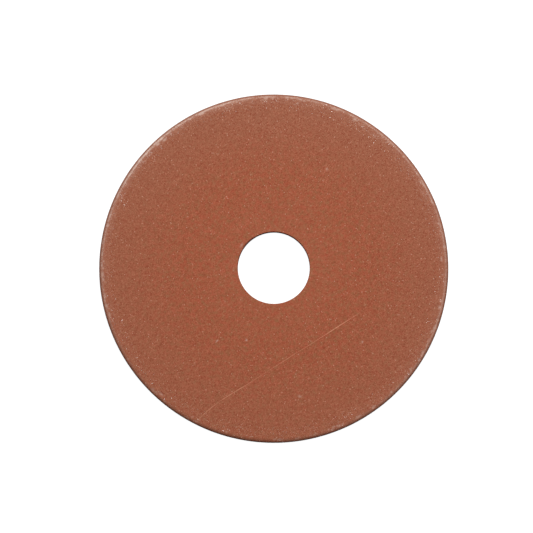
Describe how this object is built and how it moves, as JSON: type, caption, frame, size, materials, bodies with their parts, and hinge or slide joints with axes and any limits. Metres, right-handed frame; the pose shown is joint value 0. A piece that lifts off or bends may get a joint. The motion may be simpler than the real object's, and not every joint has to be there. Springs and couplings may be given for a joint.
{
  "type": "resin-bond grinding wheel",
  "caption": "Thin flat resin-bond diamond grinding wheel with a plain bore, rounded rim, backing ring and a layered core with glass mesh inside.",
  "frame": {"origin": "on the bore's axis, at the wheel's back face, on which it lies", "axes": "+Z along the bore's axis from the back face to the front face; +X and +Y are two square directions in the back face"},
  "size_m": [0.108, 0.108, 0.0032],
  "materials": {
    "diamond_bond": "brick-red resin bond, matte and gritty, with fine diamond",
    "backing_bond": "brick-red resin bond, matte and fine-grained, without diamond",
    "core_bond": "brick-red resin bond with filler, matte and fine-grained",
    "glass_yarn": "woven glass-fibre yarn wetted with resin",
    "diamond_grit": "small glinting synthetic diamond crystals"
  },
  "bodies": {
    "root": {"diamond_rim": "diamond_bond", "backing_ring": "backing_bond", "front_core_layer": "core_bond", "front_glass_mesh": "glass_yarn", "middle_core_layer": "core_bond", "back_glass_mesh": "glass_yarn", "back_core_layer": "core_bond"}
  },
  "joints": []
}
